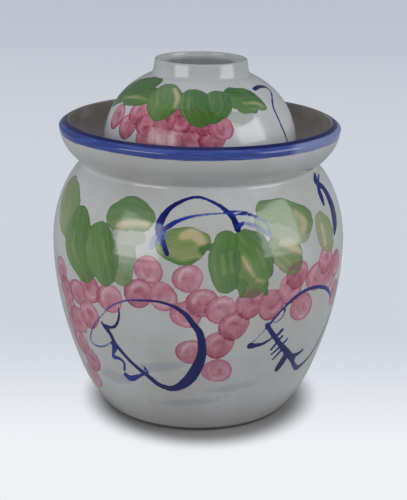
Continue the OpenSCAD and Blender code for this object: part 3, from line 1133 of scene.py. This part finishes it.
def dabbed_grapes(tree, colour, here):
    """Grapes laid over a colour. Thin pigment lets the glaze show, and thick pigment is darker."""
    mask = use(tree, brush_edge, Depth=read(tree, "grape"), Ragged=1.1, Soft=0.3)["Mask"]
    grain = swing(tree, noise(tree, here, 210.0, 5.0, 0.65), 0.75)
    pooled = calc(tree, "ADD", read(tree, "grape_tone"), grain, clamp=True)
    rim = calc(tree, "MULTIPLY", ease(tree, read(tree, "grape_depth"), 1.6, 0.1), 0.16)
    pooled = calc(tree, "ADD", pooled, rim, clamp=True)
    cover = calc(tree, "ADD", calc(tree, "MULTIPLY", pooled, 0.3), 0.72)
    return blend_colour(tree, calc(tree, "MULTIPLY", mask, cover), colour, ramp(tree, pooled, GRAPE_STOPS))


# %% Leaves under the glaze


def brushed_leaves(tree, colour, here):
    """Leaves laid over a colour, with an unsteady darker edge and streaks where the brush ran dry."""
    wander = swing(tree, noise(tree, here, 55.0, 2.0), 4.5)
    inside = calc(tree, "ADD", read(tree, "leaf"), wander)
    mask = use(tree, brush_edge, Depth=inside, Ragged=1.5, Soft=0.25, Grain=300.0)["Mask"]
    along = read(tree, "leaf_along")
    across = read(tree, "leaf_across")
    fine = use(tree, bristle, Along=along, Across=across, Pitch=1.1)["Streak"]
    broad = use(tree, bristle, Along=along, Across=across, Pitch=0.28)["Streak"]
    tone = calc(tree, "ADD", read(tree, "leaf_tone"), swing(tree, broad, 0.18))
    patch = ease(tree, noise(tree, here, 48.0, 2.0), 0.46, 0.62)
    lifted = calc(tree, "MULTIPLY", calc(tree, "MULTIPLY", ease(tree, fine, 0.62, 1.0), patch), 0.34)
    tone = calc(tree, "ADD", calc(tree, "ADD", tone, swing(tree, fine, 0.1)), lifted, clamp=True)
    green = ramp(tree, tone, LEAF_STOPS)
    own = calc(tree, "ADD", read(tree, "leaf_depth"), wander)
    rim = calc(tree, "MULTIPLY", ease(tree, own, 1.6, 0.3), 0.4)
    green = blend_colour(tree, rim, green, LEAF_POOL)
    pink = calc(tree, "MULTIPLY", read(tree, "leaf_pink"), 0.75)
    green = blend_colour(tree, pink, green, LEAF_OVER_PINK)
    thin = calc(tree, "MULTIPLY", calc(tree, "SUBTRACT", 1.0, fine), 0.16)
    load = calc(tree, "SUBTRACT", read(tree, "leaf_load"), thin, clamp=True)
    return blend_colour(tree, calc(tree, "MULTIPLY", mask, load), colour, green)


# %% Cobalt under the glaze


def pulled_cobalt(tree, colour):
    """Cobalt laid over a colour: clear mid blue where it is thin and nearly black where it is thick."""
    mask = use(tree, brush_edge, Depth=read(tree, "cobalt"), Ragged=0.8, Soft=0.22, Grain=500.0)["Mask"]
    hair = use(
        tree, bristle, Along=read(tree, "cobalt_along"), Across=read(tree, "cobalt_across"), Pitch=1.3
    )["Streak"]
    load = read(tree, "cobalt_load")
    dense = calc(tree, "SUBTRACT", load, calc(tree, "MULTIPLY", hair, 0.3), clamp=True)
    dye = ramp(tree, dense, [(0.0, COBALT_THIN), (0.45, COBALT_MID), (0.85, COBALT_THICK)])
    cover = calc(tree, "ADD", calc(tree, "MULTIPLY", load, 1.4), 0.2, clamp=True)
    return blend_colour(tree, calc(tree, "MULTIPLY", mask, cover), colour, dye)


# %% The painted glaze of the jar and of the lid
GLAZE_THIN = tint(175, 176, 174)
GLAZE_THICK = tint(190, 192, 194)
LID_THIN = tint(178, 180, 181)
LID_THICK = tint(192, 195, 199)
# The jar's inside: darker glaze from pouring, and partly painted shade in the hollow.
POURED = tint(132, 128, 121)
# Painted shade in the lid's dish, which is also the darker glaze of the lid's inside.
WORN = tint(110, 112, 117)


def painted(thin, thick, dark):
    """The nodes of glaze with the decoration under it. Dark is the colour of the inside, partly painted
    shade, and on the lid also the painted shade of its dish.
    """
    def make(tree):
        here = object_place(tree)
        glaze = use(tree, glaze_surface, Thin=thin, Thick=thick, Specks=0.6)
        colour = blend_colour(tree, read(tree, "inner"), glaze["Color"], dark)
        wash = use(tree, brush_edge, Depth=read(tree, "wash"), Ragged=5.0, Soft=1.6, Grain=120.0)["Mask"]
        wash = calc(tree, "MULTIPLY", wash, read(tree, "wash_load"))
        colour = blend_colour(tree, wash, colour, WASH_TINT)
        colour = dabbed_grapes(tree, colour, here)
        colour = brushed_leaves(tree, colour, here)
        colour = pulled_cobalt(tree, colour)
        return colour, glaze["Roughness"], glaze["Normal"]
    return make


body_glaze = finish("painted glaze", painted(GLAZE_THIN, GLAZE_THICK, POURED))
lid_glaze = finish("lid glaze", painted(LID_THIN, LID_THICK, WORN))
print("painted with", [material.name for material in (body_glaze, lid_glaze)])

# %% [markdown]
# The moat's wall has no pictures but a cobalt band. The brush was held still against the rim while the wheel
# turned, so the band goes all the way round, dense on the crest and watery under it, with paler stretches
# where the brush ran dry and a darker lap where it met its own start. Inside, the moat is greyer, because the
# glaze was put on by pouring and lies thin over the clay, and also as painted shade down in the moat.

# %% The moat's glaze and band
BAND_MM = 8.0
CREST_MM = 1.5
# The moat's inside: a darker glaze from pouring, and partly painted shade down in the hollow.
MOAT_THIN = tint(137, 133, 127)
MOAT_THICK = tint(157, 153, 146)
BAND_STOPS = [(0.25, tint(20, 42, 118)), (0.5, tint(32, 60, 140)), (0.75, tint(56, 88, 166))]
BAND_DRY = tint(108, 134, 194)
BAND_CREST = tint(8, 18, 84)


def banded(tree):
    """The nodes of the moat: glaze, the band and the poured inside."""
    glaze = use(tree, glaze_surface, Thin=GLAZE_THIN, Thick=GLAZE_THICK, Specks=0.6)
    here = object_place(tree)
    axes = add(tree, "SeparateXYZ", {"Vector": here}).outputs
    flat = add(tree, "CombineXYZ", {"X": axes["X"], "Y": axes["Y"]}).outputs["Vector"]
    radius = add(tree, "VectorMath", {0: flat}, operation="LENGTH").outputs["Value"]
    below = calc(tree, "MULTIPLY", calc(tree, "SUBTRACT", crest_z * MM, axes["Z"]), 1 / MM)
    out = calc(tree, "MULTIPLY", calc(tree, "SUBTRACT", radius, crest_r * MM), 1 / MM)
    cloud = ease(tree, noise(tree, here, 22.0, 3.0), 0.3, 0.7)
    poured = blend_colour(tree, cloud, MOAT_THIN, MOAT_THICK)
    colour = blend_colour(tree, read(tree, "inner"), glaze["Color"], poured)
    uneven = swing(tree, noise(tree, here, 20.0, 2.0), 3.2)
    edge = calc(tree, "ADD", calc(tree, "SUBTRACT", BAND_MM, below), uneven)
    band = use(tree, brush_edge, Depth=edge, Ragged=0.8, Soft=0.35)["Mask"]
    band = calc(tree, "MULTIPLY", band, ease(tree, out, -0.6, 0.2))
    ring = add(tree, "VectorMath", {0: here, 1: (1.0, 1.0, 16.0)}, operation="MULTIPLY").outputs["Vector"]
    hair = noise(tree, ring, 46.0, 3.0)
    dry = ease(tree, noise(tree, flat, 15.0, 1.0), 0.50, 0.58)
    blue = ramp(tree, hair, BAND_STOPS)
    blue = blend_colour(tree, calc(tree, "MULTIPLY", dry, 0.55), blue, BAND_DRY)
    cover = calc(tree, "SUBTRACT", 0.96, calc(tree, "MULTIPLY", dry, 0.18))
    colour = blend_colour(tree, calc(tree, "MULTIPLY", band, cover), colour, blue)
    crest = calc(tree, "ADD", calc(tree, "SUBTRACT", CREST_MM, below), calc(tree, "MULTIPLY", uneven, 0.2))
    line = use(tree, brush_edge, Depth=crest, Ragged=0.5, Soft=0.3)["Mask"]
    line = calc(tree, "MULTIPLY", line, ease(tree, out, -0.9, -0.3))
    colour = blend_colour(tree, line, colour, BAND_CREST)
    return colour, glaze["Roughness"], glaze["Normal"]


moat_glaze = finish("banded moat glaze", banded)
print("made", moat_glaze.name)

# %% [markdown]
# The foot is bare stoneware. Its glaze was wiped off so that it didn't stick to the shelf of the kiln, and
# what is left is a matt, gritty grey clay, a little scorched where the flame reached it. The clay is made a
# dark grey partly as painted shade, for the dark line where the foot meets the floor.

# %% Bare clay
CLAY_PALE = tint(102, 98, 93)
CLAY_DARK = tint(86, 81, 75)
CLAY_GRIT = tint(76, 66, 56)


def clay(tree):
    """The nodes of unglazed fired clay, darkened partly as painted shade at the foot."""
    here = object_place(tree)
    scorch = ease(tree, noise(tree, here, 60.0, 4.0), 0.3, 0.7)
    colour = blend_colour(tree, scorch, CLAY_PALE, CLAY_DARK)
    grit = noise(tree, here, 900.0, 3.0)
    colour = blend_colour(tree, ease(tree, grit, 0.62, 0.7), colour, CLAY_GRIT)
    bump = add(tree, "Bump", {"Height": grit, "Strength": 0.5, "Distance": 0.0004})
    rough = calc(tree, "ADD", calc(tree, "MULTIPLY", grit, 0.15), 0.72)
    return colour, rough, bump.outputs["Normal"]


bare_clay = finish("bare clay", clay)
print("made", bare_clay.name)

# %% [markdown]
# Two pieces have glaze with no picture under it: the collar, which stands inside the moat and was glazed by
# pouring, and the grip, which is as pale as the rest of the lid. The collar's grey is partly that glaze and
# partly painted shade, as deep in the moat. Both use the shared glaze group.

# %% Plain glaze
# The collar's grey, partly painted shade down in the moat.
COLLAR_THIN = tint(136, 132, 125)
COLLAR_THICK = tint(150, 146, 139)
GRIP_THIN = tint(170, 172, 173)
GRIP_THICK = tint(184, 187, 189)


def plain_glaze(thin, thick, dark, specks):
    """The nodes of glaze with nothing painted under it. Dark is the colour where it is an inside, and painted
    shade in the lid's dish.
    """
    def make(tree):
        glaze = use(tree, glaze_surface, Thin=thin, Thick=thick, Specks=specks)
        colour = blend_colour(tree, read(tree, "inner"), glaze["Color"], dark)
        return colour, glaze["Roughness"], glaze["Normal"]
    return make


# The collar's glaze is darkened partly as painted shade.
collar_glaze = finish("poured glaze", plain_glaze(COLLAR_THIN, COLLAR_THICK, POURED, 0.8))
grip_glaze = finish("grip glaze", plain_glaze(GRIP_THIN, GRIP_THICK, WORN, 0.6))
print("made", collar_glaze.name, "and", grip_glaze.name)

# %% [markdown]
# Now the pieces are dressed. Each turned piece rides on its body, so that it follows the lid or stays with
# the jar, and the imported nodes that it stands for are hidden. The foot ring and the collar keep the
# imported meshes, which have the right shape already, and only get a better material.

# %% Give each piece its finish and its body, and hide the imported nodes it stands for
pieces = [
    (body, body_glaze, "jar", ("jar_body",), "painted_glaze"),
    (moat, moat_glaze, "jar", ("moat_wall", "moat_rim"), "cobalt_band"),
    (lid, lid_glaze, "lid", ("lid_bowl",), "lid_glaze"),
    (grip, grip_glaze, "lid", ("lid_grip_ring",), "lid_glaze"),
]
for piece, material, rides_on, stands_for, slot in pieces:
    piece.data.materials.append(material)
    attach(piece, rides_on)
    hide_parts(*stands_for)
for node, material in (("foot_ring", bare_clay), ("mouth_collar", collar_glaze)):
    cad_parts[node].data.materials.clear()
    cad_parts[node].data.materials.append(material)
print(len(pieces), "turned pieces and 2 packed ones")

# %% [markdown]
# The jar stands on a pale sweep of paper, which is nearly white round the pot and a greyer blue far off.
# Lamps alone would not give that even fall, so the paper's near part is lit, to carry the shadow, and its
# far part glows in its own colour. A pale floor would also throw light up under the belly and lie as a
# veil in the glaze, so only the camera sees it at full strength: a reflection finds it dimmer, and light
# that bounces finds it darker still.

# %% Floor and surroundings
FLOOR_M = 14
bm = bmesh.new()
bmesh.ops.create_grid(bm, x_segments=2, y_segments=2, size=FLOOR_M / 2)
floor_mesh = bpy.data.meshes.new("paper_floor")
bm.to_mesh(floor_mesh)
bm.free()
floor = bpy.data.objects.new("paper_floor", floor_mesh)
bpy.context.scene.collection.objects.link(floor)
print("floor", FLOOR_M, "m wide")

# %% The paper's own glow
LIT_PAPER = tint(152, 152, 152)
NEAR_PAPER = tint(239, 241, 245)
MID_PAPER = tint(206, 211, 222)
FAR_PAPER = tint(187, 192, 204)
DIM_PAPER = tint(117, 115, 113)
MIRRORED = 0.4
BLACK = (0, 0, 0, 1)
# These draw the ellipse round the foot inside which the paper does not glow: the edge of a painted shadow.
SHADOW_AT = (0.003, 0, 0)
SHADOW_SHAPE = (1.105, 1, 1)
SHADOW_EDGE = (0.079, 0.107)
NEAR_DEPTH = (0.14, -0.13)
FAR_DEPTH = (0.5, 2.7)


def seen(tree):
    """1 for what the camera sees, less for what the glaze mirrors, and 0 for light that bounces."""
    path = add(tree, "LightPath").outputs
    in_glaze = calc(tree, "MULTIPLY", path["Is Glossy Ray"], MIRRORED)
    direct = calc(tree, "MAXIMUM", path["Is Camera Ray"], in_glaze)
    return calc(tree, "MAXIMUM", direct, path["Is Transmission Ray"])


floor_paper = bpy.data.materials.new("paper")
floor_paper.use_nodes = True
tree = floor_paper.node_tree
shader = tree.nodes["Principled BSDF"]
flat = object_place(tree)
around = add(tree, "VectorMath", {0: flat, 1: SHADOW_AT}, operation="SUBTRACT").outputs["Vector"]
around = add(tree, "VectorMath", {0: around, 1: SHADOW_SHAPE}, operation="MULTIPLY").outputs["Vector"]
away = add(tree, "VectorMath", {0: around}, operation="LENGTH").outputs["Value"]
depth = add(tree, "SeparateXYZ", {"Vector": flat}).outputs["Y"]
# Near the foot the paper is a darker grey, LIT_PAPER, and its glow fades in along that ellipse, so the ring
# is painted shadow on top of the shadow the lamps cast.
beyond = ease(tree, away, *SHADOW_EDGE)
lit = blend_colour(tree, beyond, LIT_PAPER, BLACK)
glow = blend_colour(tree, ease(tree, depth, *NEAR_DEPTH), MID_PAPER, NEAR_PAPER)
glow = blend_colour(tree, ease(tree, depth, *FAR_DEPTH), glow, FAR_PAPER)
glow = blend_colour(tree, calc(tree, "MULTIPLY", beyond, seen(tree)), BLACK, glow)
tree.links.new(blend_colour(tree, seen(tree), DIM_PAPER, lit), shader.inputs["Base Color"])
tree.links.new(glow, shader.inputs["Emission Color"])
shader.inputs["Emission Strength"].default_value = 1
shader.inputs["Roughness"].default_value = 0.9
shader.inputs["Specular IOR Level"].default_value = 0
floor.data.materials.append(floor_paper)
print("paper glows from", SHADOW_EDGE[0], "m out")

# %% [markdown]
# The world is the room. Its fill comes mostly from the sides and the back, and less from the front, where
# the camera stands. A reflection finds the room dimmer, as it does the paper, and the camera sees the
# colour of the far paper there, so that the sweep has no end. Which ray is asking is told by Light Path,
# which stays in the material and the world, because it belongs to the ray and not to the surface.

# %% The room's light
SIDE_LIGHT = tint(180, 182, 187)
FRONT_LIGHT = tint(146, 146, 149)
world = bpy.data.worlds.new("studio")
world.use_nodes = True
bpy.context.scene.world = world
tree = world.node_tree
axes = add(tree, "SeparateXYZ", {"Vector": add(tree, "TexCoord").outputs["Generated"]}).outputs
fill = blend_colour(tree, ease(tree, axes["Y"], -0.9, 0.0), FRONT_LIGHT, SIDE_LIGHT)
path = add(tree, "LightPath").outputs
veil = calc(tree, "MULTIPLY", path["Is Glossy Ray"], 1 - MIRRORED)
fill = blend_colour(tree, veil, fill, BLACK)
fill = blend_colour(tree, path["Is Camera Ray"], fill, FAR_PAPER)
tree.links.new(fill, tree.nodes["Background"].inputs["Color"])
print("world", world.name)

# %% [markdown]
# The lamps are found from the highlights. A glaze mirrors a lamp where the sight line, turned back by the
# surface, meets it. So the two window-like highlights on the belly say in which directions the real
# softboxes stood, and their sizes follow from how wide the highlights are.

# %% The direction that a highlight tells


def mirrored(x, y, outline):
    """The point seen at a pixel and the direction in which the glaze mirrors the sight line there."""
    angle, height = on_surface(x, y, outline)
    point = Vector(place(angle, height, outline))
    slope = np.gradient(outline, axis=0)
    lean = np.array([np.interp(height, outline[:, 1], slope[:, i]) for i in (0, 1)])
    turn_by = math.radians(angle)
    normal = Vector((lean[1] * math.cos(turn_by), lean[1] * math.sin(turn_by), -lean[0])).normalized()
    ray = sight(x, y)
    return point, ray - 2 * ray.dot(normal) * normal


# %% Softboxes placed by their highlights
LEFT_GLINT = (137, 243)
RIGHT_GLINT = (279, 226)
LAMP_M = 1.5
OVER_AT = Vector((0, 0, 0.2))
OVER_WAY = Vector((-0.15, 0.1, 1)).normalized()
OVER_M = 1.3


def softbox(name, point, direction, distance, size, glow):
    """A rectangular lamp seen from a point in a direction. A glow of 1 is a face as bright as white."""
    lamp = bpy.data.lights.new(name, "AREA")
    lamp.shape = "RECTANGLE"
    lamp.size, lamp.size_y = size
    lamp.energy = glow * math.pi * size[0] * size[1]
    holder = bpy.data.objects.new(name, lamp)
    holder.rotation_mode = "QUATERNION"
    holder.rotation_quaternion = (-direction).to_track_quat("-Z", "Y")
    holder.location = point + direction * distance
    bpy.context.scene.collection.objects.link(holder)
    print(name, [round(v, 2) for v in holder.location])


softbox("softbox_left", *mirrored(*LEFT_GLINT, jar_outside), LAMP_M, (1.0, 1.2), 4.4)
softbox("softbox_right", *mirrored(*RIGHT_GLINT, jar_outside), LAMP_M, (1.0, 1.1), 4.1)
softbox("softbox_over", OVER_AT, OVER_WAY, OVER_M, (1.2, 1.2), 0.2)

# %% [markdown]
# Standard is the view transform that shows a colour about as it was written.

bpy.context.scene.view_settings.view_transform = "Standard"
